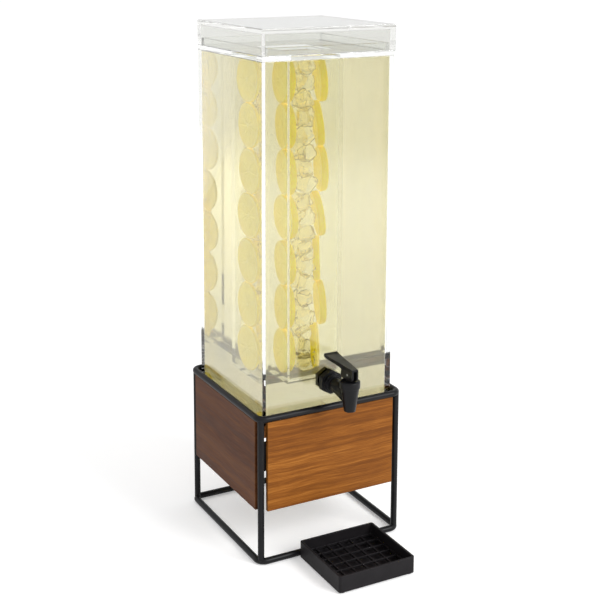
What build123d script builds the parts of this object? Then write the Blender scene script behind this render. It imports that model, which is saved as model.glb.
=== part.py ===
from build123d import *
import math
import os

# Square acrylic beverage dispenser on a wire stand with wood panels, millimetres.
# Origin: centre of the stand's footprint on the counter. +Z up, the faucet faces -Y.

# ---- stand: round steel rod, wood panels, flat steel straps ----
rod_d = 7.9
stand_top = 187.6
stand_width = 202.2
ring_bend_r = 10.0
panel_t = 5.0
panel_bottom = 67.6
panel_edge_bevel = 0.5
panel_leg_gap = 3.0
panel_ring_gap = 0.2
tab_t = 2.0
tab_length = 16.0
tab_bottom = 117.5
tab_height = 36.5
strap_w = 20.0
strap_t = 2.5
strap_spacing = 100.0
strap_weld_depth = 0.6
screw_head_d = 6.4
screw_head_h = 1.8
screw_slot_w = 0.6
screw_slot_l = 3.2
screw_slot_depth = 0.7
screw_shank_d = 3.0
screw_grip = 4.2
screw_clear = 0.2
screw_pitch = 22.0

# ---- tank: glued acrylic sheet ----
tank_w = 178.0
tank_wall = 6.0
tank_h = 432.7
tank_bottom = 171.5

# ---- ice chamber hanging from its flange ----
flange_t = 6.4
chamber_w = 76.2
chamber_wall = 5.0
chamber_floor_gap = 26.0
rim_t = 4.0
rim_h = 9.0

# ---- lid ----
lid_w = 178.8
lid_wall = 6.0
lid_top_t = 6.0
lid_h = 30.9
lid_gap = 0.1
rim_gap = 0.6

# ---- faucet ----
faucet_above_floor = 36.5
shank_d = 16.0
shank_bore_d = 9.0
shank_clear = 0.4
thread_clear = 0.1
washer_t = 1.6
washer_d = 25.0
nut_flats = 27.0
nut_t = 7.0
nut_corner_cut = 1.3
nut_corner_rise = 2.5
nut_boss_d = 23.0
nut_boss_t = 4.5
nut_collar_d = 20.0
nut_collar_t = 3.0
nut_rounding = 0.8
nut_thread_play = 0.4
lock_nut_flats = 24.0
lock_nut_t = 8.0
shank_end_past_nut = 3.0
barrel_reach = 51.0
barrel_top_d = 21.6
barrel_straight_h = 11.0
barrel_tip_d = 14.0
flare_start_gap = 3.0
flare_inset = 5.0
flare_w = 17.2
flare_h = 22.0
flare_drop = 3.2
barrel_below_axis = 20.5
barrel_over_shank = 3.0
valve_bore_d = 15.0
outlet_d = 9.0
seat_below_axis = 8.0
bonnet_d = 24.4
bonnet_cap_t = 6.0
bonnet_skirt = 2.6
bonnet_rounding = 2.2
bonnet_clear = 0.1
stem_d = 5.0
stem_clear = 0.05
stem_flat_t = 3.8
stem_round_above_cap = 1.0
cup_d = 12.4
cup_h = 6.0
cup_seat_gap = 0.05
cup_grip = 4.0
cup_rounding = 0.8
spring_wire_d = 0.9
spring_coil_d = 8.4
spring_turns = 4.0
spring_end_gap = 0.15
pin_d = 2.6
pin_clear = 0.05
pin_above_bonnet = 7.0
eye_r = 3.0
handle_w = 8.2
handle_slot_w = 4.6
handle_gap = 0.4
handle_nose_offset = 5.0
handle_neck_back = 15.0
handle_neck_slope = 1.0
handle_neck_drop = 3.4
handle_top_front = 9.0
handle_top_back = 11.6
handle_tip_rise = 1.2
handle_tip_length = 5.0
handle_reach = 46.0
handle_paddle_t = 3.8
handle_tip_w = 18.6
handle_flare_start = 4.0
handle_cheek_h = 4.6
handle_slot_back = 7.0
handle_roof_t = 2.0

# ---- drip tray and its grid ----
tray_w = 103.0
tray_d = 96.0
tray_h = 21.5
tray_wall = 2.5
tray_floor = 2.0
tray_foot_h = 1.2
tray_foot_d = 9.0
tray_foot_inset = 1.5
tray_bottom_rounding = 0.6
tray_corner_r = 3.0
tray_inner_corner_r = 1.0
tray_offset = 6.0
tray_stand_gap = 0.3
grid_bar_w = 1.6
grid_bar_h = 2.5
grid_foot_h = 3.5
grid_foot_d = 3.2
grid_clear = 0.5
grid_cells = 6

# how far cutters run past what they cut
overcut = 1.0

# ---- places worked out from the sizes above ----
rod_r = rod_d / 2
ring_c = stand_width / 2 - rod_r
ring_z = stand_top - rod_r
ring_inside = ring_c - rod_r
leg_c = ring_c - ring_bend_r * (1 - math.sqrt(0.5))
strap_out = ring_inside + strap_weld_depth
panel_in = strap_out
panel_out = panel_in + panel_t
panel_top = ring_z - rod_r - panel_ring_gap
panel_half = leg_c - math.sqrt(rod_r**2 - max(0.0, leg_c - panel_in) ** 2) - panel_leg_gap
tank_half = tank_w / 2
tank_inner = tank_half - tank_wall
tank_top = tank_bottom + tank_h
tank_floor_top = tank_bottom + tank_wall
chamber_half = chamber_w / 2
chamber_inner = chamber_half - chamber_wall
chamber_bottom = tank_floor_top + chamber_floor_gap
flange_top = tank_top + flange_t
lid_half = lid_w / 2
lid_inner = lid_half - lid_wall
lid_bottom = flange_top + lid_gap
lid_top = lid_bottom + lid_h
faucet_z = tank_floor_top + faucet_above_floor
barrel_y = -tank_half - barrel_reach
seat_z = faucet_z - seat_below_axis
bonnet_ceiling = faucet_z + shank_d / 2 + barrel_over_shank
bonnet_top = bonnet_ceiling + bonnet_cap_t
pin_z = bonnet_top + pin_above_bonnet
handle_bottom = bonnet_top + handle_gap
tray_back = -stand_width / 2 - tray_stand_gap
tray_centre_y = tray_back - tray_d / 2
tray_floor_top = tray_foot_h + tray_floor


def block(x0, x1, y0, y1, z0, z1):
    """A box between two corners."""
    size = (x1 - x0, y1 - y0, z1 - z0)
    centre = ((x0 + x1) / 2, (y0 + y1) / 2, (z0 + z1) / 2)
    return Pos(*centre) * Box(*size)


def rod_z(radius, x, y, z0, z1):
    """A round bar standing along Z."""
    return Pos(x, y, (z0 + z1) / 2) * Cylinder(radius, z1 - z0)


def rod_y(radius, x, z, y0, y1):
    """A round bar lying along Y."""
    return Pos(x, (y0 + y1) / 2, z) * Rot(90, 0, 0) * Cylinder(radius, y1 - y0)


def rod_x(radius, y, z, x0, x1):
    """A round bar lying along X."""
    return Pos((x0 + x1) / 2, y, z) * Rot(0, 90, 0) * Cylinder(radius, x1 - x0)


def hex_y(flats, z, y0, y1):
    """A hexagonal nut blank lying along Y, one corner up."""
    outline = Pos(0, y1, z) * Rot(90, 0, 0) * RegularPolygon(flats / math.sqrt(3), 6, rotation=30)
    return extrude(outline, amount=y1 - y0)


# ---- stand ----
def bent_ring(z):
    """One closed square of bent rod with round corners."""
    straight = ring_c - ring_bend_r
    ring = None
    for side in range(4):
        bar = rod_x(rod_r, -ring_c, z, -straight, straight)
        quarter = Torus(ring_bend_r, rod_r, major_angle=90, align=None)
        bend = Pos(straight, -straight, z) * Rot(0, 0, -90) * quarter
        piece = Rot(0, 0, 90 * side) * (bar + bend)
        ring = piece if ring is None else ring + piece
    return ring


def leg(sx, sy, top_ring, bottom_ring):
    """An upright rod, its ends shaped to sit on the two bent rings."""
    upright = rod_z(rod_r, sx * leg_c, sy * leg_c, rod_r, ring_z)
    shaped = upright - top_ring - bottom_ring
    return max(shaped.solids(), key=lambda solid: solid.volume)


def panel_tab(sx, sy):
    """A flat steel tab welded to a leg, against the back of the front panel."""
    tab_end = leg_c - rod_r - tab_length
    tab = block(tab_end, leg_c, -panel_in, -panel_in + tab_t, tab_bottom, tab_bottom + tab_height)
    for z in screw_heights():
        hole_end = -panel_in + tab_t + overcut
        tab -= rod_y(screw_shank_d / 2 + screw_clear, screw_x(), z, -panel_in - overcut, hole_end)
    tab -= rod_z(rod_r, leg_c, -leg_c, 0, stand_top)
    return max(tab.solids(), key=lambda solid: solid.volume)


def screw_x():
    return leg_c - rod_r - tab_length / 2


def screw_heights():
    middle = tab_bottom + tab_height / 2
    return (middle - screw_pitch / 2, middle + screw_pitch / 2)


def panel_screw(z):
    """A pan-head wood screw driven outwards through a tab into the front panel."""
    head_y = -panel_in + tab_t
    head = rod_y(screw_head_d / 2, screw_x(), z, head_y, head_y + screw_head_h)
    head = fillet(head.faces().sort_by(Axis.Y)[-1].edges(), screw_head_h / 3)
    slot_y = head_y + screw_head_h - screw_slot_depth
    slot = Pos(screw_x(), slot_y + overcut, z) * Box(screw_slot_l, 2 * overcut, screw_slot_w)
    shank = rod_y(screw_shank_d / 2, screw_x(), z, -panel_in - screw_grip, head_y)
    return head + shank - slot


def wood_panel():
    """The front panel, with blind pilot holes for its screws."""
    panel = block(-panel_half, panel_half, -panel_out, -panel_in, panel_bottom, panel_top)
    outer_edges = panel.faces().sort_by(Axis.Y)[0].edges()
    panel = chamfer(outer_edges, panel_edge_bevel)
    for sx in (-1, 1):
        for z in screw_heights():
            pilot_end = -panel_in - screw_grip
            panel -= rod_y(screw_shank_d / 2, sx * screw_x(), z, pilot_end, -panel_in + overcut)
    return panel


def tank_strap(y):
    """A flat strap under the tank, its ends turned up and welded inside the top ring."""
    y0, y1 = y - strap_w / 2, y + strap_w / 2
    under = block(-strap_out, strap_out, y0, y1, tank_bottom - strap_t, tank_bottom)
    left = block(-strap_out, -strap_out + strap_t, y0, y1, tank_bottom - strap_t, ring_z)
    right = block(strap_out - strap_t, strap_out, y0, y1, tank_bottom - strap_t, ring_z)
    strap = under + left + right
    for sx in (-1, 1):
        strap -= rod_y(rod_r, sx * ring_c, ring_z, y0 - overcut, y1 + overcut)
    return strap


# ---- acrylic boxes ----
def square_walls(half, wall, z0, z1):
    """Front and back sheets the full width, side sheets between them."""
    inner = half - wall
    return {
        "front": block(-half, half, -half, -inner, z0, z1),
        "back": block(-half, half, inner, half, z0, z1),
        "left": block(-half, -inner, -inner, inner, z0, z1),
        "right": block(inner, half, -inner, inner, z0, z1),
    }


def square_frame(outer, inner, z0, z1):
    hole = block(-inner, inner, -inner, inner, z0 - overcut, z1 + overcut)
    return block(-outer, outer, -outer, outer, z0, z1) - hole


# ---- faucet ----
def faucet_body():
    """Threaded shank, flared neck and tapered barrel, bored through to the outlet."""
    shank_tail = -tank_inner + washer_t + lock_nut_t + shank_end_past_nut
    neck_back = -tank_half - washer_t - nut_t - nut_boss_t - nut_collar_t - flare_start_gap
    barrel_bottom = faucet_z - barrel_below_axis
    shank = rod_y(shank_d / 2, 0, faucet_z, barrel_y, shank_tail)
    across = Rot(90, 0, 0)
    flare_back = Pos(0, neck_back, faucet_z) * across * Circle(shank_d / 2 + nut_thread_play - thread_clear)
    flare_front_at = Pos(0, barrel_y + flare_inset, faucet_z - flare_drop)
    flare_front = flare_front_at * across * Ellipse(flare_w / 2, flare_h / 2)
    flare = loft([flare_back, flare_front])
    barrel_profile = [
        (0, barrel_bottom),
        (barrel_tip_d / 2, barrel_bottom),
        (barrel_top_d / 2, bonnet_top - barrel_straight_h),
        (barrel_top_d / 2, bonnet_ceiling),
        (0, bonnet_ceiling),
    ]
    outline = make_face(Polyline(*[(r, 0, z) for r, z in barrel_profile], close=True))
    barrel = Pos(0, barrel_y, 0) * revolve(outline, Axis.Z)
    body = barrel + shank + flare
    body -= rod_z(valve_bore_d / 2, 0, barrel_y, seat_z, bonnet_ceiling + overcut)
    body -= rod_z(outlet_d / 2, 0, barrel_y, barrel_bottom - overcut, seat_z + overcut)
    body -= rod_y(shank_bore_d / 2, 0, faucet_z, barrel_y, shank_tail + overcut)
    return body


def collar_nut():
    """Outside nut: chamfered hexagon, round boss and a thin collar in one moulding."""
    y1 = -tank_half - washer_t
    y0 = y1 - nut_t
    hexagon = hex_y(nut_flats, faucet_z, y0, y1)
    corner_r = nut_flats / math.sqrt(3)
    cone_at = Pos(0, (y0 + y1) / 2, faucet_z) * Rot(90, 0, 0)
    cone = cone_at * Cone(corner_r + nut_corner_rise, corner_r - nut_corner_cut, nut_t)
    nut = hexagon & cone
    nut += rod_y(nut_boss_d / 2, 0, faucet_z, y0 - nut_boss_t, y0)
    nut += rod_y(nut_collar_d / 2, 0, faucet_z, y0 - nut_boss_t - nut_collar_t, y0 - nut_boss_t)
    front = nut.faces().sort_by(Axis.Y)[0]
    nut = fillet(front.outer_wire().edges(), nut_rounding)
    front_y = y0 - nut_boss_t - nut_collar_t
    return nut - rod_y(shank_d / 2 + nut_thread_play, 0, faucet_z, front_y - overcut, y1 + overcut)


def washer(y0, y1):
    ring = rod_y(washer_d / 2, 0, faucet_z, y0, y1)
    return ring - rod_y(shank_d / 2 + thread_clear, 0, faucet_z, y0 - overcut, y1 + overcut)


def lock_nut():
    y0 = -tank_inner + washer_t
    nut = hex_y(lock_nut_flats, faucet_z, y0, y0 + lock_nut_t)
    return nut - rod_y(shank_d / 2 + thread_clear, 0, faucet_z, y0 - overcut, y0 + lock_nut_t + overcut)


def bonnet():
    """Screw-on cap over the top of the barrel, with the stem's guide bore."""
    bottom = bonnet_ceiling - bonnet_skirt
    cap = rod_z(bonnet_d / 2, 0, barrel_y, bottom, bonnet_top)
    cap = fillet(cap.faces().sort_by(Axis.Z)[-1].edges(), bonnet_rounding)
    cap -= rod_z(barrel_top_d / 2 + bonnet_clear, 0, barrel_y, bottom - overcut, bonnet_ceiling)
    return cap - rod_z(stem_d / 2 + stem_clear, 0, barrel_y, bonnet_ceiling - overcut, bonnet_top + overcut)


def valve_stem():
    """Round stem, flattened above into an eye for the handle pin."""
    bottom = seat_z + cup_seat_gap + cup_h - cup_grip
    flats_from = bonnet_ceiling + stem_round_above_cap
    stem = rod_z(stem_d / 2, 0, barrel_y, bottom, flats_from)
    slab = block(-stem_flat_t / 2, stem_flat_t / 2, barrel_y - stem_d, barrel_y + stem_d, flats_from, pin_z)
    tongue = rod_z(stem_d / 2, 0, barrel_y, flats_from, pin_z) & slab
    eye = rod_x(eye_r, barrel_y, pin_z, -stem_flat_t / 2, stem_flat_t / 2)
    hole = rod_x(pin_d / 2 + pin_clear, barrel_y, pin_z, -stem_d, stem_d)
    return stem + tongue + eye - hole


def seat_cup():
    """Silicone cup that closes the outlet."""
    bottom = seat_z + cup_seat_gap
    cup = rod_z(cup_d / 2, 0, barrel_y, bottom, bottom + cup_h)
    cup = fillet(cup.faces().sort_by(Axis.Z)[0].edges(), cup_rounding)
    return cup - rod_z(stem_d / 2, 0, barrel_y, bottom + cup_h - cup_grip, bottom + cup_h + overcut)


def valve_spring():
    """Coil spring between the cup and the bonnet's ceiling."""
    low = seat_z + cup_seat_gap + cup_h + spring_wire_d / 2 + spring_end_gap
    high = bonnet_ceiling - spring_wire_d / 2 - spring_end_gap
    path = Helix((high - low) / spring_turns, high - low, spring_coil_d / 2)
    section = Plane(origin=path @ 0, z_dir=path % 0) * Circle(spring_wire_d / 2)
    return Pos(0, barrel_y, low) * sweep(section, path, is_frenet=True)


def handle():
    """Lever: hollow cheeks round the stem, a round nose that rolls on the bonnet, a flared paddle."""
    nose_y = barrel_y - handle_nose_offset
    nose_r = pin_z - handle_bottom
    front = nose_y - nose_r
    neck_back = barrel_y + handle_neck_back
    tip = barrel_y + handle_reach
    top_front = pin_z + handle_top_front
    top_back = pin_z + handle_top_back
    outline = Polyline(
        (front, pin_z),
        (front, top_front),
        (tip - handle_tip_length, top_back),
        (tip, top_back + handle_tip_rise),
        (tip, top_back + handle_tip_rise - handle_paddle_t),
        (tip - handle_tip_length, top_back - handle_paddle_t),
        (neck_back - handle_neck_slope, top_front - handle_neck_drop),
        (neck_back, handle_bottom),
        (nose_y, handle_bottom),
    )
    nose = RadiusArc((nose_y, handle_bottom), (front, pin_z), nose_r)
    side_view = Plane.YZ * make_face([outline, nose])
    lever = extrude(side_view, amount=handle_tip_w / 2, both=True)
    plan = Polyline(
        (-handle_w / 2, front - overcut),
        (handle_w / 2, front - overcut),
        (handle_w / 2, front + handle_flare_start),
        (handle_tip_w / 2, tip + overcut),
        (-handle_tip_w / 2, tip + overcut),
        (-handle_w / 2, front + handle_flare_start),
        close=True,
    )
    cheek_top = pin_z + handle_cheek_h
    paddle = Pos(0, 0, cheek_top) * extrude(make_face(plan), amount=handle_reach)
    cheeks = block(-handle_w / 2, handle_w / 2, front - overcut, tip, bonnet_top, cheek_top + overcut)
    lever &= paddle + cheeks
    slot_w = handle_slot_w / 2
    slot_top = top_front - handle_roof_t
    lever -= block(-slot_w, slot_w, front - overcut, barrel_y + handle_slot_back, bonnet_top, slot_top)
    return lever - rod_x(pin_d / 2, barrel_y, pin_z, -handle_w, handle_w)


def handle_pin():
    return rod_x(pin_d / 2, barrel_y, pin_z, -handle_w / 2, handle_w / 2)


# ---- drip tray ----
def drip_tray():
    """Shallow open tray with a foot under each corner."""
    x0, x1 = tray_offset - tray_w / 2, tray_offset + tray_w / 2
    y0, y1 = tray_back - tray_d, tray_back
    tray = block(x0, x1, y0, y1, tray_foot_h, tray_h)
    tray = fillet(tray.edges().filter_by(Axis.Z), tray_corner_r)
    w = tray_wall
    hollow = block(x0 + w, x1 - w, y0 + w, y1 - w, tray_floor_top, tray_h + overcut)
    tray -= fillet(hollow.edges().filter_by(Axis.Z), tray_inner_corner_r)
    tray = fillet(tray.faces().sort_by(Axis.Z)[0].outer_wire().edges(), tray_bottom_rounding)
    foot_inset = tray_foot_d / 2 + tray_foot_inset
    for x in (x0 + foot_inset, x1 - foot_inset):
        for y in (y0 + foot_inset, y1 - foot_inset):
            tray += rod_z(tray_foot_d / 2, x, y, 0, tray_foot_h + tray_bottom_rounding)
    return tray


def drip_grid():
    """Lift-out lattice with a thin rim, on small feet that leave room for drips."""
    half_x = tray_w / 2 - tray_wall - grid_clear
    half_y = tray_d / 2 - tray_wall - grid_clear
    z0 = tray_floor_top + grid_foot_h
    z1 = z0 + grid_bar_h
    grid = block(-half_x, half_x, -half_y, half_y, z0, z1)
    cell_x = (2 * half_x - grid_bar_w) / grid_cells
    cell_y = (2 * half_y - grid_bar_w) / grid_cells
    for i in range(grid_cells):
        for j in range(grid_cells):
            x = -half_x + grid_bar_w + i * cell_x
            y = -half_y + grid_bar_w + j * cell_y
            grid -= block(x, x + cell_x - grid_bar_w, y, y + cell_y - grid_bar_w, z0 - overcut, z1 + overcut)
    crossing_x = (grid_cells // 2 - 1) * cell_x
    crossing_y = (grid_cells // 2 - 1) * cell_y
    for i in (-1, 1):
        for j in (-1, 1):
            foot_top = z1 - grid_bar_h / 2
            grid += rod_z(grid_foot_d / 2, i * crossing_x, j * crossing_y, tray_floor_top, foot_top)
    return Pos(tray_offset, tray_centre_y, 0) * grid


parts = {}

top_ring = bent_ring(ring_z)
bottom_ring = bent_ring(rod_r)
parts["top_ring"] = top_ring
parts["bottom_ring"] = bottom_ring
corners = {"front_left": (-1, -1), "front_right": (1, -1), "back_left": (-1, 1), "back_right": (1, 1)}
for corner, (sx, sy) in corners.items():
    parts[f"leg_{corner}"] = leg(sx, sy, top_ring, bottom_ring)

# Each side of the stand is the front side turned about Z.
sides = {"front": 0, "right": 90, "back": 180, "left": 270}
screws = []
for side, angle in sides.items():
    turn = Rot(0, 0, angle)
    parts[f"{side}_panel"] = turn * wood_panel()
    parts[f"{side}_panel_tab_a"] = turn * panel_tab(1, -1)
    parts[f"{side}_panel_tab_b"] = turn * mirror(panel_tab(1, -1), about=Plane.YZ)
    for z in screw_heights():
        screws.append(turn * panel_screw(z))
        screws.append(turn * mirror(panel_screw(z), about=Plane.YZ))
parts["panel_screws"] = Compound(children=screws)
parts["front_tank_strap"] = tank_strap(-strap_spacing / 2)
parts["back_tank_strap"] = tank_strap(strap_spacing / 2)

for side, wall in square_walls(tank_half, tank_wall, tank_bottom, tank_top).items():
    if side == "front":
        wall -= rod_y(shank_d / 2 + shank_clear, 0, faucet_z, -tank_half - overcut, -tank_inner + overcut)
    parts[f"tank_{side}_wall"] = wall
parts["tank_floor"] = block(-tank_inner, tank_inner, -tank_inner, tank_inner, tank_bottom, tank_floor_top)

for side, wall in square_walls(chamber_half, chamber_wall, chamber_bottom, tank_top).items():
    parts[f"ice_chamber_{side}_wall"] = wall
inner = chamber_inner
chamber_floor_top = chamber_bottom + chamber_wall
parts["ice_chamber_floor"] = block(-inner, inner, -inner, inner, chamber_bottom, chamber_floor_top)
parts["ice_chamber_flange"] = square_frame(tank_half, chamber_inner, tank_top, flange_top)
rim_outer = lid_inner - rim_gap
parts["flange_rim"] = square_frame(rim_outer, rim_outer - rim_t, flange_top, flange_top + rim_h)

lid_skirts = square_walls(lid_half, lid_wall, lid_bottom, lid_top - lid_top_t)
for side, wall in lid_skirts.items():
    parts[f"lid_{side}_skirt"] = wall
parts["lid_top"] = block(-lid_half, lid_half, -lid_half, lid_half, lid_top - lid_top_t, lid_top)

parts["faucet_body"] = faucet_body()
parts["collar_nut"] = collar_nut()
parts["outer_washer"] = washer(-tank_half - washer_t, -tank_half)
parts["inner_washer"] = washer(-tank_inner, -tank_inner + washer_t)
parts["lock_nut"] = lock_nut()
parts["bonnet"] = bonnet()
parts["valve_spring"] = valve_spring()
parts["valve_stem"] = valve_stem()
parts["seat_cup"] = seat_cup()
parts["faucet_handle"] = handle()
parts["handle_pin"] = handle_pin()
parts["drip_tray"] = drip_tray()
parts["drip_grid"] = drip_grid()

os.makedirs("parts", exist_ok=True)
for name, shape in parts.items():
    export_step(shape, f"parts/{name}.step")
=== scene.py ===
import math
import random

import bmesh
import bpy
from mathutils import Matrix, Vector, noise


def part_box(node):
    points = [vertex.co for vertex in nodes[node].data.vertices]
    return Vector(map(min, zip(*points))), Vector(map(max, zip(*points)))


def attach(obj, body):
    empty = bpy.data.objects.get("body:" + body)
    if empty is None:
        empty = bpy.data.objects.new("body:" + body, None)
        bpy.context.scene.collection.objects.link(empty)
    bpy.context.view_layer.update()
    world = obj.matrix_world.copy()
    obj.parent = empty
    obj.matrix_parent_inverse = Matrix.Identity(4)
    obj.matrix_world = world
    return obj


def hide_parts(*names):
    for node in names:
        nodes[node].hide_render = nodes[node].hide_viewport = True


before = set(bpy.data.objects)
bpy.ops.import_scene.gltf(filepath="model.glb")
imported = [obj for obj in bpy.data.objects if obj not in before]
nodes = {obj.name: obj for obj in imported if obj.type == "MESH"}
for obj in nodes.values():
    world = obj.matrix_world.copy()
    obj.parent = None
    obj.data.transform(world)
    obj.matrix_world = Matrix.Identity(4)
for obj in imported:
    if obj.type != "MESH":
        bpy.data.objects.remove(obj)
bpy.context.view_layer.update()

mm = 0.001


def linearColor(hexCode):
    channels = [int(hexCode[i:i + 2], 16) / 255 for i in (1, 3, 5)]
    return (*[c / 12.92 if c <= 0.04045 else ((c + 0.055) / 1.055) ** 2.4 for c in channels], 1.0)


def addNode(tree, kind, values=None, links=None, **settings):
    made = tree.nodes.new(kind)
    for name, value in settings.items():
        setattr(made, name, value)
    for name, value in (values or {}).items():
        made.inputs[name].default_value = value
    for name, source in (links or {}).items():
        tree.links.new(source, made.inputs[name])
    return made


def newMaterial(name):
    material = bpy.data.materials.new(name)
    material.use_nodes = True
    material.node_tree.nodes.clear()
    return material, material.node_tree


def setRamp(rampNode, stops):
    ramp = rampNode.color_ramp
    while len(ramp.elements) < len(stops):
        ramp.elements.new(0.5)
    for element, (place, color) in zip(ramp.elements, stops):
        element.position = place
        element.color = color


def paint(objects, material):
    for obj in objects:
        obj.data.materials.clear()
        obj.data.materials.append(material)


def meshObject(name, build, material=None, smooth=True):
    mesh = bpy.data.meshes.new(name)
    bm = bmesh.new()
    build(bm)
    bmesh.ops.recalc_face_normals(bm, faces=bm.faces)
    bm.to_mesh(mesh)
    bm.free()
    obj = bpy.data.objects.new(name, mesh)
    bpy.context.scene.collection.objects.link(obj)
    if material:
        mesh.materials.append(material)
    for face in mesh.polygons:
        face.use_smooth = smooth
    return obj


def applyModifiers(obj):
    view = bpy.context.evaluated_depsgraph_get()
    view.update()
    final = bpy.data.meshes.new_from_object(obj.evaluated_get(view))
    obj.modifiers.clear()
    old = obj.data
    obj.data = final
    bpy.data.meshes.remove(old)


cameraLook = {
    "place": (-0.6957, -1.2922, 0.7438),
    "pitch": 9.86,
    "turn": -27.48,
    "sensor": 36,
    "lens": 72.23,
    "shiftX": 0.0382,
    "shiftY": -0.2575,
}


def addCamera():
    lens = bpy.data.cameras.new("camera")
    lens.sensor_width = cameraLook["sensor"]
    lens.lens = cameraLook["lens"]
    lens.shift_x = cameraLook["shiftX"]
    lens.shift_y = cameraLook["shiftY"]
    lens.clip_end = 50
    camera = bpy.data.objects.new("camera", lens)
    camera.location = cameraLook["place"]
    tilt = math.radians(90 - cameraLook["pitch"])
    camera.rotation_euler = (tilt, 0, math.radians(cameraLook["turn"]))
    bpy.context.scene.collection.objects.link(camera)
    bpy.context.scene.camera = camera


studio = {
    "worldBright": 1.42,
    "upperBright": 0.93,
    "fadeTo": 0.06,
    "keyPower": 52,
    "keyPlace": (1.0, -2.1, 1.5),
    "keyAim": (0, 0, 0.25),
    "keySize": 1.1,
    "floorHex": "#E8E8E8",
    "floorGlow": 0.3,
    "floorReach": 20,
    "floorDrop": 0.5 * mm,
    "fibreWidth": 2.5 * mm,
}

# light goes to and fro many times inside clear sheet, and its edges turn black where the count is low
bounces = {
    "max_bounces": 32,
    "transmission_bounces": 32,
    "glossy_bounces": 32,
    "transparent_max_bounces": 24,
    "diffuse_bounces": 5,
    "volume_bounces": 16,
}


def addSoftbox(name, place, size, power, aim):
    lamp = bpy.data.lights.new(name, "AREA")
    lamp.size = size
    lamp.energy = power
    obj = bpy.data.objects.new(name, lamp)
    obj.location = place
    obj.rotation_euler = (Vector(aim) - Vector(place)).to_track_quat("-Z", "Y").to_euler()
    bpy.context.scene.collection.objects.link(obj)
    return obj


def addStudio():
    # white below the horizon, a little darker above it, one large softbox in front and to the right
    scene = bpy.context.scene
    scene.view_settings.view_transform = "Standard"
    world = bpy.data.worlds.new("studioWorld")
    scene.world = world
    world.use_nodes = True
    world.node_tree.nodes.clear()
    tree = world.node_tree
    way = addNode(tree, "ShaderNodeTexCoord")
    split = addNode(tree, "ShaderNodeSeparateXYZ", links={0: way.outputs["Generated"]})
    fade = addNode(tree, "ShaderNodeMapRange",
                   {1: 0.0, 2: studio["fadeTo"], 3: studio["worldBright"], 4: studio["upperBright"]},
                   {0: split.outputs["Z"]}, interpolation_type="SMOOTHSTEP")
    glow = addNode(tree, "ShaderNodeBackground", {"Color": (1, 1, 1, 1)}, {"Strength": fade.outputs[0]})
    addNode(tree, "ShaderNodeOutputWorld", links={"Surface": glow.outputs[0]})
    key = addSoftbox("keyLight", studio["keyPlace"], studio["keySize"], studio["keyPower"], studio["keyAim"])
    key.visible_transmission = False  # keeps the lamp's own image out of the drink

    # even and unglossy, so it only carries soft shadows
    material, tree = newMaterial("matt white studio paper")
    place = addNode(tree, "ShaderNodeTexCoord")
    fibre = addNode(tree, "ShaderNodeTexNoise", {"Scale": 1 / studio["fibreWidth"], "Detail": 2.0},
                    {"Vector": place.outputs["Object"]})
    bump = addNode(tree, "ShaderNodeBump", {"Strength": 0.05, "Distance": 0.1 * mm},
                   {"Height": fibre.outputs[0]})
    shader = addNode(tree, "ShaderNodeBsdfPrincipled",
                     {"Base Color": linearColor(studio["floorHex"]), "Roughness": 0.9,
                      "Specular IOR Level": 0.1, "Emission Color": (1, 1, 1, 1),
                      "Emission Strength": studio["floorGlow"]},
                     {"Normal": bump.outputs[0]})
    addNode(tree, "ShaderNodeOutputMaterial", links={"Surface": shader.outputs[0]})

    def build(bm):
        bmesh.ops.create_grid(bm, x_segments=1, y_segments=1, size=studio["floorReach"])

    floor = meshObject("studioFloor", build, material)
    floor.location.z = -studio["floorDrop"]
    for name, count in bounces.items():
        setattr(scene.cycles, name, count)
    print("studio set")


acrylicLook = {
    "tankHex": "#FBFCFA",
    # the lid is the tank's clear acrylic tinted greyer as painted shade, and its level faces greyer still as
    # a painted reflection
    "lidPaintedShadeHex": "#EDEDEA",
    "lidTopPaintedShadeHex": "#DCDDDA",
    "rippleWidth": 110 * mm,
    "hazeWidth": 9 * mm,
    "haze": 0.03,
}


def castAcrylic(name, ior, tintAndShade, flatPaintedShade=None):
    # cast acrylic sheet with flame-polished edges: clear, its reflections slightly wavy, faint handling haze
    material, tree = newMaterial(name)
    place = addNode(tree, "ShaderNodeTexCoord")
    wave = addNode(tree, "ShaderNodeTexNoise", {"Scale": 1 / acrylicLook["rippleWidth"], "Detail": 2.0},
                   {"Vector": place.outputs["Object"]})
    bump = addNode(tree, "ShaderNodeBump", {"Strength": 0.03, "Distance": 2 * mm},
                   {"Height": wave.outputs[0]})
    smear = addNode(tree, "ShaderNodeTexNoise", {"Scale": 1 / acrylicLook["hazeWidth"], "Detail": 4.0},
                    {"Vector": place.outputs["Object"]})
    haze = addNode(tree, "ShaderNodeMapRange", {1: 0.5, 2: 0.8, 3: 0.0, 4: acrylicLook["haze"]},
                   {0: smear.outputs[0]})
    links = {"Normal": bump.outputs[0], "Roughness": haze.outputs[0]}
    if flatPaintedShade:
        # painted reflection: level faces are tinted a shade greyer than upright ones, standing in for the
        # duller sky they reflect, which sets the lid's top off from the air
        facing = addNode(tree, "ShaderNodeNewGeometry")
        level = addNode(tree, "ShaderNodeVectorMath", {1: (0.0, 0.0, 1.0)}, {0: facing.outputs["Normal"]},
                        operation="DOT_PRODUCT")
        size = addNode(tree, "ShaderNodeMath", links={0: level.outputs["Value"]}, operation="ABSOLUTE")
        shade = addNode(tree, "ShaderNodeMix", {6: linearColor(tintAndShade), 7: linearColor(flatPaintedShade)},
                        {0: size.outputs[0]}, data_type="RGBA")
        links["Base Color"] = shade.outputs[2]
    shader = addNode(tree, "ShaderNodeBsdfPrincipled",
                     {"Base Color": linearColor(tintAndShade), "IOR": ior, "Transmission Weight": 1.0}, links)
    addNode(tree, "ShaderNodeOutputMaterial", links={"Surface": shader.outputs[0]})
    return material


drink = {
    "index": 1.34,
    "wallGap": 0.08 * mm,
    "levelBelowRim": 1.2 * mm,
    "depthHex": "#FFF5B2",
    "strength": 6.0,
    "cloud": 3.0,
    "cloudHex": "#FFFBE6",
    "swirlWidth": 60 * mm,
}


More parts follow.
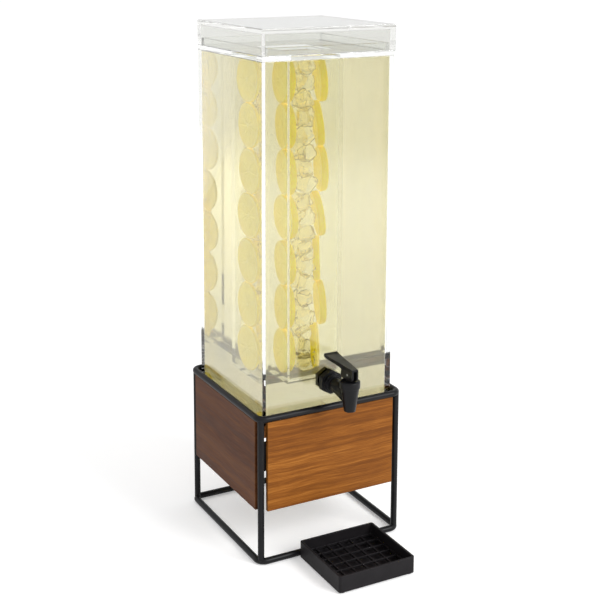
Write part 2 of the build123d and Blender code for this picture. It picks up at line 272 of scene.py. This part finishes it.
def lemonadeMaterial():
    # still lemonade: clear enough to see the fruit, yellower with depth, a little milky with juice
    material, tree = newMaterial("still lemonade")
    place = addNode(tree, "ShaderNodeTexCoord")
    swirl = addNode(tree, "ShaderNodeTexNoise", {"Scale": 1 / drink["swirlWidth"], "Detail": 3.0},
                    {"Vector": place.outputs["Object"]})
    juice = addNode(tree, "ShaderNodeMapRange",
                    {1: 0.3, 2: 0.7, 3: 0.8 * drink["cloud"], 4: 1.2 * drink["cloud"]}, {0: swirl.outputs[0]})
    shader = addNode(tree, "ShaderNodeBsdfPrincipled",
                     {"Base Color": (1, 1, 1, 1), "Roughness": 0.0, "IOR": drink["index"],
                      "Transmission Weight": 1.0})
    depth = addNode(tree, "ShaderNodeVolumeAbsorption",
                    {"Color": linearColor(drink["depthHex"]), "Density": drink["strength"]})
    milk = addNode(tree, "ShaderNodeVolumeScatter",
                   {"Color": linearColor(drink["cloudHex"]), "Anisotropy": 0.4},
                   {"Density": juice.outputs[0]})
    both = addNode(tree, "ShaderNodeAddShader", links={0: depth.outputs[0], 1: milk.outputs[0]})
    addNode(tree, "ShaderNodeOutputMaterial", links={"Surface": shader.outputs[0], "Volume": both.outputs[0]})
    return material


def wornEdges(tree, radius):
    # a rounded normal for the arrises, and a mask that is 1 along them
    sample = addNode(tree, "ShaderNodeBevel", {"Radius": radius}, samples=6)
    flat = addNode(tree, "ShaderNodeNewGeometry")
    agree = addNode(tree, "ShaderNodeVectorMath", links={0: sample.outputs[0], 1: flat.outputs["Normal"]},
                    operation="DOT_PRODUCT")
    mask = addNode(tree, "ShaderNodeMapRange", {1: 0.99, 2: 0.8, 3: 0.0, 4: 1.0}, {0: agree.outputs["Value"]})
    return sample.outputs[0], mask.outputs[0]


coatLook = {
    "darkHex": "#0E0E10",
    "lightHex": "#18181A",
    "edgeHex": "#2C2C2F",
    "peelWidth": 1.4 * mm,
    "rubWidth": 25 * mm,
    "shine": 0.16,
}


def powderCoat():
    # steel rod, powder coated black: satin with a fine orange peel, paler where it is rubbed
    material, tree = newMaterial("satin black powder coat")
    place = addNode(tree, "ShaderNodeTexCoord")
    peel = addNode(tree, "ShaderNodeTexNoise", {"Scale": 1 / coatLook["peelWidth"], "Detail": 2.0},
                   {"Vector": place.outputs["Object"]})
    rub = addNode(tree, "ShaderNodeTexNoise", {"Scale": 1 / coatLook["rubWidth"], "Detail": 4.0},
                  {"Vector": place.outputs["Object"]})
    roundNormal, edge = wornEdges(tree, 0.4 * mm)
    bump = addNode(tree, "ShaderNodeBump", {"Strength": 0.18, "Distance": 0.2 * mm},
                   {"Height": peel.outputs[0], "Normal": roundNormal})
    tone = addNode(tree, "ShaderNodeValToRGB", links={0: rub.outputs[0]})
    setRamp(tone, [(0.3, linearColor(coatLook["darkHex"])), (0.75, linearColor(coatLook["lightHex"]))])
    worn = addNode(tree, "ShaderNodeMix", {7: linearColor(coatLook["edgeHex"])},
                   {0: edge, 6: tone.outputs[0]}, data_type="RGBA")
    rough = addNode(tree, "ShaderNodeMapRange", {1: 0.3, 2: 0.7, 3: 0.3, 4: 0.42}, {0: rub.outputs[0]})
    shader = addNode(tree, "ShaderNodeBsdfPrincipled", {"IOR": 1.5, "Specular IOR Level": coatLook["shine"]},
                     {"Base Color": worn.outputs[2], "Roughness": rough.outputs[0],
                      "Normal": bump.outputs[0]})
    addNode(tree, "ShaderNodeOutputMaterial", links={"Surface": shader.outputs[0]})
    return material


plasticLook = {
    "edgeHex": "#48484B",
    "cloudWidth": 16.667 * mm,
}

# darker and lighter colour, roughness, width of the grain, shine
plastics = {
    "moulded black acetal": ("#08080A", "#101012", 0.34, 0.5 * mm, 0.18),
    "moulded black polypropylene": ("#151315", "#1C1A1C", 0.5, 0.7 * mm, 0.14),
    "pressed black silicone": ("#121213", "#1B1B1C", 0.6, 0.4 * mm, 0.3),
}


def mouldedPlastic(name):
    # black plastic or rubber from a mould: a fine grain breaks up the highlights, and edges rub paler
    dark, light, rough, grainWidth, shine = plastics[name]
    material, tree = newMaterial(name)
    place = addNode(tree, "ShaderNodeTexCoord")
    grain = addNode(tree, "ShaderNodeTexNoise", {"Scale": 1 / grainWidth, "Detail": 3.0},
                    {"Vector": place.outputs["Object"]})
    cloud = addNode(tree, "ShaderNodeTexNoise", {"Scale": 1 / plasticLook["cloudWidth"], "Detail": 3.0},
                    {"Vector": place.outputs["Object"]})
    roundNormal, edge = wornEdges(tree, 0.5 * mm)
    bump = addNode(tree, "ShaderNodeBump", {"Strength": 0.22, "Distance": 0.15 * mm},
                   {"Height": grain.outputs[0], "Normal": roundNormal})
    tone = addNode(tree, "ShaderNodeValToRGB", links={0: cloud.outputs[0]})
    setRamp(tone, [(0.3, linearColor(dark)), (0.72, linearColor(light))])
    rubbed = addNode(tree, "ShaderNodeMath", {1: 0.5}, {0: edge}, operation="MULTIPLY")
    worn = addNode(tree, "ShaderNodeMix", {7: linearColor(plasticLook["edgeHex"])},
                   {0: rubbed.outputs[0], 6: tone.outputs[0]}, data_type="RGBA")
    sheen = addNode(tree, "ShaderNodeMapRange", {1: 0.3, 2: 0.7, 3: rough - 0.05, 4: rough + 0.06},
                    {0: cloud.outputs[0]})
    shader = addNode(tree, "ShaderNodeBsdfPrincipled", {"IOR": 1.49, "Specular IOR Level": shine},
                     {"Base Color": worn.outputs[2], "Roughness": sheen.outputs[0],
                      "Normal": bump.outputs[0]})
    addNode(tree, "ShaderNodeOutputMaterial", links={"Surface": shader.outputs[0]})
    return material


woodLook = {
    "front": ("#673A11", "#7E4A18", "#945D24"),
    # the side boards are the same honey veneer darkened, a painted shade for the faces turned from the light
    "side": ("#43230F", "#512E18", "#5E3A20"),
    "stops": (0.41, 0.5, 0.59),
    "poreHex": "#3A1D08",
    "edgeHex": "#A8793F",
    "shine": 0.1,
    "lineWidth": 0.9 * mm,
    "grainWidth": 4.5 * mm,
    "figureWidth": 22 * mm,
    "driftWidth": 90.909 * mm,
    "stretch": 0.035,
    "waver": 4 * mm,
}


def stainedWood(name, along, stainAndShade):
    # stained and lacquered veneer: fine wavering grain lines along the board, a slow figure, small dark pores
    material, tree = newMaterial(name)
    place = addNode(tree, "ShaderNodeTexCoord")
    drift = addNode(tree, "ShaderNodeTexNoise", {"Scale": 1 / woodLook["driftWidth"], "Detail": 2.0},
                    {"Vector": place.outputs["Object"]})
    centred = addNode(tree, "ShaderNodeMath", {1: 0.5}, {0: drift.outputs[0]}, operation="SUBTRACT")
    lift = addNode(tree, "ShaderNodeMath", {1: 2 * woodLook["waver"]}, {0: centred.outputs[0]},
                   operation="MULTIPLY")
    upward = addNode(tree, "ShaderNodeCombineXYZ", links={"Z": lift.outputs[0]})
    wavy = addNode(tree, "ShaderNodeVectorMath", links={0: place.outputs["Object"], 1: upward.outputs[0]},
                   operation="ADD")
    squeeze = [1.0, 1.0, 1.0]
    squeeze["XY".index(along)] = woodLook["stretch"]
    board = addNode(tree, "ShaderNodeMapping", {"Scale": squeeze}, {"Vector": wavy.outputs[0]})
    layers = []
    for width, detail in (("lineWidth", 3.0), ("grainWidth", 4.0), ("figureWidth", 2.0)):
        layers.append(addNode(tree, "ShaderNodeTexNoise", {"Scale": 1 / woodLook[width], "Detail": detail},
                              {"Vector": board.outputs[0]}).outputs[0])
    fine = addNode(tree, "ShaderNodeMix", {0: 0.5}, {2: layers[0], 3: layers[1]}, data_type="FLOAT")
    both = addNode(tree, "ShaderNodeMix", {0: 0.32}, {2: fine.outputs[0], 3: layers[2]}, data_type="FLOAT")
    tone = addNode(tree, "ShaderNodeValToRGB", links={0: both.outputs[0]})
    # the side set of tones is painted shade on the honey stain, not a different stain
    setRamp(tone, [(stop, linearColor(code)) for stop, code in zip(woodLook["stops"], woodLook[stainAndShade])])
    pores = addNode(tree, "ShaderNodeTexNoise", {"Scale": 2.0 / woodLook["lineWidth"], "Detail": 1.0},
                    {"Vector": board.outputs[0]})
    poreMask = addNode(tree, "ShaderNodeMapRange", {1: 0.64, 2: 0.74, 3: 0.0, 4: 0.5}, {0: pores.outputs[0]})
    poured = addNode(tree, "ShaderNodeMix", {7: linearColor(woodLook["poreHex"])},
                     {0: poreMask.outputs[0], 6: tone.outputs[0]}, data_type="RGBA")
    roundNormal, edge = wornEdges(tree, 0.5 * mm)
    rubbed = addNode(tree, "ShaderNodeMath", {1: 0.55}, {0: edge}, operation="MULTIPLY")
    worn = addNode(tree, "ShaderNodeMix", {7: linearColor(woodLook["edgeHex"])},
                   {0: rubbed.outputs[0], 6: poured.outputs[2]}, data_type="RGBA")
    bump = addNode(tree, "ShaderNodeBump", {"Strength": 0.25, "Distance": 0.25 * mm},
                   {"Height": both.outputs[0], "Normal": roundNormal})
    rough = addNode(tree, "ShaderNodeMapRange", {1: 0.3, 2: 0.7, 3: 0.42, 4: 0.55}, {0: layers[1]})
    shader = addNode(tree, "ShaderNodeBsdfPrincipled", {"IOR": 1.5, "Specular IOR Level": woodLook["shine"]},
                     {"Base Color": worn.outputs[2], "Roughness": rough.outputs[0],
                      "Normal": bump.outputs[0]})
    addNode(tree, "ShaderNodeOutputMaterial", links={"Surface": shader.outputs[0]})
    return material


zincLook = {
    "hexes": ("#A7A9AC", "#CFD1D3"),
    "spangleWidth": 1.111 * mm,
}


def zincSteel():
    # bright zinc-plated steel screws, pin and spring: a fine spangle and dull patches
    material, tree = newMaterial("bright zinc plate")
    place = addNode(tree, "ShaderNodeTexCoord")
    spangle = addNode(tree, "ShaderNodeTexNoise", {"Scale": 1 / zincLook["spangleWidth"], "Detail": 2.0},
                      {"Vector": place.outputs["Object"]})
    bump = addNode(tree, "ShaderNodeBump", {"Strength": 0.1, "Distance": 0.1 * mm},
                   {"Height": spangle.outputs[0]})
    tone = addNode(tree, "ShaderNodeValToRGB", links={0: spangle.outputs[0]})
    setRamp(tone, [(stop, linearColor(code)) for stop, code in zip((0.3, 0.7), zincLook["hexes"])])
    rough = addNode(tree, "ShaderNodeMapRange", {1: 0.3, 2: 0.7, 3: 0.22, 4: 0.4}, {0: spangle.outputs[0]})
    shader = addNode(tree, "ShaderNodeBsdfPrincipled", {"Metallic": 1.0},
                     {"Base Color": tone.outputs[0], "Roughness": rough.outputs[0],
                      "Normal": bump.outputs[0]})
    addNode(tree, "ShaderNodeOutputMaterial", links={"Surface": shader.outputs[0]})
    return material


fruitLook = {
    "rindHexes": ("#F2DC04", "#FFEE22"),
    "pulpHexes": ("#F4EE8E", "#EADF66"),
    "pithHexes": ("#F7F3A8", "#FDFAC4"),
    "rindPitWidth": 1.613 * mm,
    "juiceCellWidth": 2.632 * mm,
    "pithFibreWidth": 3.333 * mm,
    "patchWidth": 14.286 * mm,
    "index": 1.06,
    "clearness": 0.4,
    # glow is a painted glow the fruit gives off, as though lit from within
    "glow": 0.3,
}


def fruitSkin(name, pattern, width, hexes, depth, rough, clearness):
    # what rind, pulp and pith share: small cells over slow patches, and flesh that lets some light through
    material, tree = newMaterial(name)
    place = addNode(tree, "ShaderNodeTexCoord")
    cells = addNode(tree, pattern, {"Scale": 1 / width}, {"Vector": place.outputs["Object"]})
    patch = addNode(tree, "ShaderNodeTexNoise", {"Scale": 1 / fruitLook["patchWidth"]},
                    {"Vector": place.outputs["Object"]})
    mixed = addNode(tree, "ShaderNodeMix", {0: 0.5}, {2: cells.outputs[0], 3: patch.outputs[0]},
                    data_type="FLOAT")
    tone = addNode(tree, "ShaderNodeValToRGB", links={0: mixed.outputs[0]})
    setRamp(tone, [(0.25, linearColor(hexes[0])), (0.7, linearColor(hexes[1]))])
    bump = addNode(tree, "ShaderNodeBump", {"Strength": 0.4, "Distance": depth}, {"Height": cells.outputs[0]})
    # a painted glow: a little light of its own, though no lamp, stands for what passes through the flesh
    shader = addNode(tree, "ShaderNodeBsdfPrincipled",
                     {"Roughness": rough, "IOR": fruitLook["index"], "Transmission Weight": clearness,
                      "Emission Strength": fruitLook["glow"]},
                     {"Base Color": tone.outputs[0], "Emission Color": tone.outputs[0],
                      "Normal": bump.outputs[0]})
    addNode(tree, "ShaderNodeOutputMaterial", links={"Surface": shader.outputs[0]})
    return material


def lemonMaterials():
    # waxy pitted rind outside, wet juice cells, dry pale pith and membranes between them
    rind = fruitSkin("lemon rind", "ShaderNodeTexVoronoi", fruitLook["rindPitWidth"],
                     fruitLook["rindHexes"], 0.4 * mm, 0.5, 0.1)
    pulp = fruitSkin("lemon pulp", "ShaderNodeTexVoronoi", fruitLook["juiceCellWidth"],
                     fruitLook["pulpHexes"], 0.6 * mm, 0.6, fruitLook["clearness"])
    pith = fruitSkin("lemon pith", "ShaderNodeTexNoise", fruitLook["pithFibreWidth"],
                     fruitLook["pithHexes"], 0.2 * mm, 0.7, 0.3)
    return rind, pulp, pith


def iceMaterial():
    # bar ice: clear with trapped air and melt ripples, its index given against the drink around it
    material, tree = newMaterial("bar ice")
    place = addNode(tree, "ShaderNodeTexCoord")
    ripple = addNode(tree, "ShaderNodeTexNoise", {"Scale": 1 / ice["rippleWidth"], "Detail": 3.0},
                     {"Vector": place.outputs["Object"]})
    bump = addNode(tree, "ShaderNodeBump", {"Strength": 0.5, "Distance": 2 * mm},
                   {"Height": ripple.outputs[0]})
    frost = addNode(tree, "ShaderNodeTexNoise", {"Scale": 1 / ice["frostWidth"], "Detail": 4.0},
                    {"Vector": place.outputs["Object"]})
    cloudy = addNode(tree, "ShaderNodeMapRange", {1: 0.45, 2: 0.75, 3: 0.0, 4: 0.35}, {0: frost.outputs[0]})
    shader = addNode(tree, "ShaderNodeBsdfPrincipled",
                     {"Base Color": linearColor(ice["hex"]), "IOR": ice["index"], "Transmission Weight": 1.0},
                     {"Normal": bump.outputs[0], "Roughness": cloudy.outputs[0]})
    addNode(tree, "ShaderNodeOutputMaterial", links={"Surface": shader.outputs[0]})
    return material


def addBox(bm, low, high):
    x0, y0, z0 = low
    x1, y1, z1 = high
    corners = [(x0, y0, z0), (x1, y0, z0), (x1, y1, z0), (x0, y1, z0),
               (x0, y0, z1), (x1, y0, z1), (x1, y1, z1), (x0, y1, z1)]
    verts = [bm.verts.new(c) for c in corners]
    quads = [(0, 3, 2, 1), (4, 5, 6, 7), (0, 1, 5, 4), (1, 2, 6, 5), (2, 3, 7, 6), (3, 0, 4, 7)]
    for quad in quads:
        bm.faces.new([verts[i] for i in quad])


def openBox(name, low, high, innerLow, innerHigh, material, bevel, hollowFrom="top"):
    # a box with a square pocket sunk from its top or its bottom, or right through it
    x0, y0, z0 = low
    x1, y1, z1 = high
    u0, v0, w0 = innerLow
    u1, v1, w1 = innerHigh
    outer = [(x0, y0), (x1, y0), (x1, y1), (x0, y1)]
    inner = [(u0, v0), (u1, v0), (u1, v1), (u0, v1)]
    pocketLow = w0 if hollowFrom == "top" else z0
    pocketHigh = w1 if hollowFrom == "bottom" else z1

    def build(bm):
        outerLow = [bm.verts.new((x, y, z0)) for x, y in outer]
        outerHigh = [bm.verts.new((x, y, z1)) for x, y in outer]
        innerBottom = [bm.verts.new((x, y, pocketLow)) for x, y in inner]
        innerTop = [bm.verts.new((x, y, pocketHigh)) for x, y in inner]
        for i in range(4):
            j = (i + 1) % 4
            bm.faces.new((outerLow[i], outerLow[j], outerHigh[j], outerHigh[i]))
            bm.faces.new((innerBottom[j], innerBottom[i], innerTop[i], innerTop[j]))
            if hollowFrom != "bottom":
                bm.faces.new((outerHigh[i], outerHigh[j], innerTop[j], innerTop[i]))
            if hollowFrom != "top":
                bm.faces.new((outerLow[j], outerLow[i], innerBottom[i], innerBottom[j]))
        if hollowFrom == "top":
            bm.faces.new(list(reversed(outerLow)))
            bm.faces.new(innerBottom)
        if hollowFrom == "bottom":
            bm.faces.new(outerHigh)
            bm.faces.new(list(reversed(innerTop)))

    obj = meshObject(name, build, material, smooth=False)
    edge = obj.modifiers.new("polishedEdge", "BEVEL")
    edge.width = bevel
    edge.segments = 3
    edge.limit_method = "ANGLE"
    applyModifiers(obj)
    for face in obj.data.polygons:
        face.use_smooth = False
    return obj


acrylic = {
    "index": 1.49,
    "edgeRound": 0.5 * mm,
    "jointGap": 0.05 * mm,
    "faucetHoleRadius": 8.4 * mm,
    "rimWall": 4 * mm,
}


def addAcrylic():
    clear = castAcrylic("cast clear acrylic", acrylic["index"], acrylicLook["tankHex"])
    # inside the drink only the difference between the two bends light, so this index is acrylic over drink
    wet = castAcrylic("cast clear acrylic under drink", acrylic["index"] / drink["index"],
                      acrylicLook["tankHex"])
    # the lid sheet's grey tints are painted shade and a painted reflection on clear acrylic
    lidShadedSheet = castAcrylic("lid acrylic with painted shade", acrylic["index"], acrylicLook["lidPaintedShadeHex"],
                           acrylicLook["lidTopPaintedShadeHex"])
    edge = acrylic["edgeRound"]
    gap = acrylic["jointGap"]
    low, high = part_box("tank_front_wall")
    inLow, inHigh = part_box("tank_floor")
    wall = inLow.x - low.x
    tank = openBox("tankShell", (low.x, low.y, low.z), (high.x, -low.y, high.z),
                   (inLow.x, inLow.y, inHigh.z), (inHigh.x, inHigh.y, high.z), clear, edge)
    washerLow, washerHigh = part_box("outer_washer")
    axisZ = (washerLow.z + washerHigh.z) / 2

    def cutter(bm):
        turn = Matrix.Translation((0, low.y, axisZ)) @ Matrix.Rotation(math.pi / 2, 4, "X")
        radius = acrylic["faucetHoleRadius"]
        bmesh.ops.create_cone(bm, cap_ends=True, segments=64, radius1=radius, radius2=radius,
                              depth=4 * wall, matrix=turn)

    tool = meshObject("holeCutter", cutter)
    hole = tank.modifiers.new("faucetHole", "BOOLEAN")
    hole.object = tool
    hole.solver = "EXACT"
    applyModifiers(tank)
    bpy.data.objects.remove(tool)
    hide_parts("tank_front_wall", "tank_back_wall", "tank_left_wall", "tank_right_wall", "tank_floor")
    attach(tank, "tank")

    low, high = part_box("ice_chamber_front_wall")
    inLow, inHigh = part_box("ice_chamber_floor")
    chamber = openBox("iceChamberTube", (low.x, low.y, low.z), (high.x, -low.y, high.z - gap),
                      (inLow.x, inLow.y, inHigh.z), (inHigh.x, inHigh.y, high.z), wet, edge)
    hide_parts("ice_chamber_front_wall", "ice_chamber_back_wall", "ice_chamber_left_wall",
                "ice_chamber_right_wall", "ice_chamber_floor")
    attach(chamber, "ice_chamber")
    low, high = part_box("ice_chamber_flange")
    flange = openBox("iceChamberFlangePlate", (low.x, low.y, low.z + gap), (high.x, high.y, high.z),
                     (inLow.x, inLow.y, low.z), (inHigh.x, inHigh.y, high.z), clear, edge, "through")
    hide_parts("ice_chamber_flange")
    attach(flange, "ice_chamber")
    low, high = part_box("flange_rim")
    rimWall = acrylic["rimWall"]
    rim = openBox("flangeRimFrame", (low.x, low.y, low.z + gap), (high.x, high.y, high.z),
                  (low.x + rimWall, low.y + rimWall, low.z), (high.x - rimWall, high.y - rimWall, high.z),
                  clear, edge, "through")
    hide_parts("flange_rim")
    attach(rim, "ice_chamber")

    low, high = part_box("lid_top")
    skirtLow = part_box("lid_front_skirt")[0]
    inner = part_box("lid_left_skirt")[1].x
    lid = openBox("lidShell", (low.x, low.y, skirtLow.z), (high.x, high.y, high.z),
                  (inner, inner, skirtLow.z), (-inner, -inner, low.z), lidShadedSheet, edge, "bottom")
    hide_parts("lid_top", "lid_front_skirt", "lid_back_skirt", "lid_left_skirt", "lid_right_skirt")
    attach(lid, "lid")
    print("acrylic made")


def addDrink():
    low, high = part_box("tank_floor")
    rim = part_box("tank_front_wall")[1].z
    gap = drink["wallGap"]

    def build(bm):
        level = rim - drink["levelBelowRim"]
        addBox(bm, (low.x + gap, low.y + gap, high.z + gap), (high.x - gap, high.y - gap, level))

    body = meshObject("lemonade", build, lemonadeMaterial(), smooth=False)
    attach(body, "tank")
    print("drink poured")


slices = {
    "radius": 28.5 * mm,
    "thick": 9.0 * mm,
    "count": 7,
    "segments": 9,
    "around": 108,
    "pithWidth": 2.6 * mm,
    "rindRound": 1.3 * mm,
    "membraneDip": 0.7 * mm,
    "membraneWidth": 1.4 * mm,
    "pulpBumps": 0.25 * mm,
    "pulpBumpWidth": 3.846 * mm,
    "unevenness": 0.02,
    "floorGap": 1 * mm,
    "leftTilt": 4,
    "rightTilt": 9,
    "rightYaw": (8, 24),
}


def sliceMesh(name, materials, seed):
    # a polar grid: pulp segments slightly proud of the membranes, pith ring, rounded rind
    rind, pulp, pith = range(3)
    radius, thick = slices["radius"], slices["thick"]
    around, corner = slices["around"], slices["rindRound"]
    phase = random.Random(seed).uniform(0, math.tau)
    coreR = 0.07 * radius
    pulpR = radius - slices["pithWidth"]
    rings = [coreR, *[share * radius for share in (0.16, 0.3, 0.45, 0.6, 0.75, 0.86)], pulpR, radius - corner]

    def outOfRound(a):
        return 1 + slices["unevenness"] * noise.noise((math.cos(a) * 1.7, math.sin(a) * 1.7, seed * 3.1))

    def build(bm):
        grid = []
        for side in (-1, 1):
            for r in rings:
                row = []
                for k in range(around):
                    a = math.tau * k / around
                    cell = (a + phase) * slices["segments"] / math.tau % 1
                    bank = min(cell, 1 - cell) * 2 * math.pi * r / slices["segments"]
                    proud = 0
                    if coreR < r < pulpR:
                        swell = min(1.0, bank / slices["membraneWidth"])
                        reach = r / slices["pulpBumpWidth"]
                        spot = (reach * math.cos(a), reach * math.sin(a), seed + side)
                        proud = slices["membraneDip"] * (swell - 1) + slices["pulpBumps"] * noise.noise(spot)
                    out = r * outOfRound(a)
                    x = side * (thick / 2 + proud)
                    row.append(bm.verts.new((x, out * math.cos(a), out * math.sin(a))))
                grid.append((side, row))
        left = [row for side, row in grid if side < 0]
        right = [row for side, row in grid if side > 0]
        edgeRows = []
        steps = 6
        for s in range(1, steps):
            t = math.pi * s / steps - math.pi / 2
            row = []
            for k in range(around):
                a = math.tau * k / around
                r = (radius - corner + corner * math.cos(t)) * outOfRound(a)
                row.append(bm.verts.new((thick / 2 * math.sin(t), r * math.cos(a), r * math.sin(a))))
            edgeRows.append(row)

        def strip(rowA, rowB, index):
            for k in range(around):
                j = (k + 1) % around
                face = bm.faces.new((rowA[k], rowA[j], rowB[j], rowB[k]))
                face.material_index = index

        for rows in (left, right):
            for i in range(len(rows) - 1):
                strip(rows[i], rows[i + 1], pulp if rings[i + 1] <= pulpR else pith)
            cap = bm.faces.new(rows[0])
            cap.material_index = pith
        chain = [left[-1]] + edgeRows + [right[-1]]
        for rowA, rowB in zip(chain, chain[1:]):
            strip(rowA, rowB, rind)

    obj = meshObject(name, build)
    for material in materials:
        obj.data.materials.append(material)
    return obj


def addFruit():
    # two columns against the chamber's side walls, the right one leaning in at various angles
    materials = lemonMaterials()
    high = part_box("ice_chamber_floor")[1]
    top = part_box("ice_chamber_flange")[0].z
    step = (top - high.z - 2 * slices["floorGap"]) / slices["count"]
    turn = random.Random(11)
    for side, name in ((-1, "left"), (1, "right")):
        for i in range(slices["count"]):
            piece = sliceMesh(f"lemonSlice.{name}{i + 1}", materials, i + (20 if side > 0 else 0))
            lean = slices["leftTilt"] if side < 0 else slices["rightTilt"]
            swing = turn.uniform(-lean, lean)
            yaw = turn.uniform(-3, 3) if side < 0 else -turn.uniform(*slices["rightYaw"])
            spin = math.sin(math.radians(abs(swing))) + math.sin(math.radians(abs(yaw)))
            reach = slices["radius"] * spin + slices["thick"] / 2
            x = side * max(high.x - 0.6 * mm - reach, 0.3 * high.x)
            z = high.z + slices["floorGap"] + step * (i + 0.5) + turn.uniform(-0.8, 0.8) * mm
            y = turn.uniform(-2.5, 1.5) * mm
            piece.location = (x, y, z)
            piece.rotation_euler = (turn.uniform(0, 6.2), math.radians(swing), math.radians(yaw))
            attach(piece, "ice_chamber")
    print("fruit placed")


ice = {
    "size": 19 * mm,
    "layers": 19,
    "columns": (-21 * mm, 0.5 * mm, 21 * mm),
    "endGap": 3 * mm,
    "round": 0.32,
    "index": 1.07,
    "hex": "#FEF9E0",
    "rippleWidth": 6.25 * mm,
    "frostWidth": 11.111 * mm,
}


def addIce():
    # tumbled cubes, half melted, between the two columns of fruit
    material = iceMaterial()
    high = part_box("ice_chamber_floor")[1]
    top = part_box("ice_chamber_flange")[0].z
    step = (top - high.z - 2 * ice["endGap"]) / ice["layers"]
    pick = random.Random(5)

    def build(bm):
        for layer in range(ice["layers"]):
            for column, y in enumerate(ice["columns"]):
                size = ice["size"] * pick.uniform(0.82, 1.02)
                place = Vector((pick.uniform(-10, -4) * mm, y + pick.uniform(-1, 1) * mm,
                                high.z + ice["endGap"] + step * (layer + 0.5) + pick.uniform(-2, 2) * mm))
                angle = pick.uniform(0, 6)
                turn = Matrix.Rotation(angle, 3, Vector((pick.uniform(-1, 1), pick.uniform(-1, 1), 1)))
                older = len(bm.verts)
                bmesh.ops.create_cube(bm, size=1.0)
                bm.verts.ensure_lookup_table()
                edges = list(dict.fromkeys(e for v in bm.verts[older:] for e in v.link_edges))
                bmesh.ops.subdivide_edges(bm, edges=edges, cuts=5, use_grid_fill=True)
                bm.verts.ensure_lookup_table()
                seed = Vector((layer, column, 3))
                for v in bm.verts[older:]:
                    ball = v.co.normalized() * 0.62
                    p = v.co.lerp(ball, ice["round"])
                    p = p * (1 + 0.16 * noise.noise(p * 2.4 + seed))
                    v.co = turn @ (p * size) + place

    cubes = meshObject("iceCubes", build, material)
    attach(cubes, "ice_chamber")
    print("ice added")


def finishFrame():
    steel = powderCoat()
    for name, obj in nodes.items():
        if any(word in name for word in ("_ring", "leg_", "panel_tab", "strap")):
            paint([obj], steel)
    paint([nodes["front_panel"], nodes["back_panel"]], stainedWood("honey stained veneer", "X", "front"))
    # side boards get the honey stain darkened as painted shade
    paint([nodes["left_panel"], nodes["right_panel"]], stainedWood("side veneer with painted shade", "Y", "side"))
    faucetPlastic = mouldedPlastic("moulded black acetal")
    for name in ("faucet_body", "collar_nut", "lock_nut", "bonnet", "valve_stem", "faucet_handle"):
        paint([nodes[name]], faucetPlastic)
    trayPlastic = mouldedPlastic("moulded black polypropylene")
    paint([nodes["drip_tray"], nodes["drip_grid"]], trayPlastic)
    silicone = mouldedPlastic("pressed black silicone")
    paint([nodes["outer_washer"], nodes["inner_washer"], nodes["seat_cup"]], silicone)
    paint([nodes["panel_screws"], nodes["handle_pin"], nodes["valve_spring"]], zincSteel())
    print("frame finished")


addCamera()
addStudio()
addAcrylic()
addDrink()
addFruit()
addIce()
finishFrame()
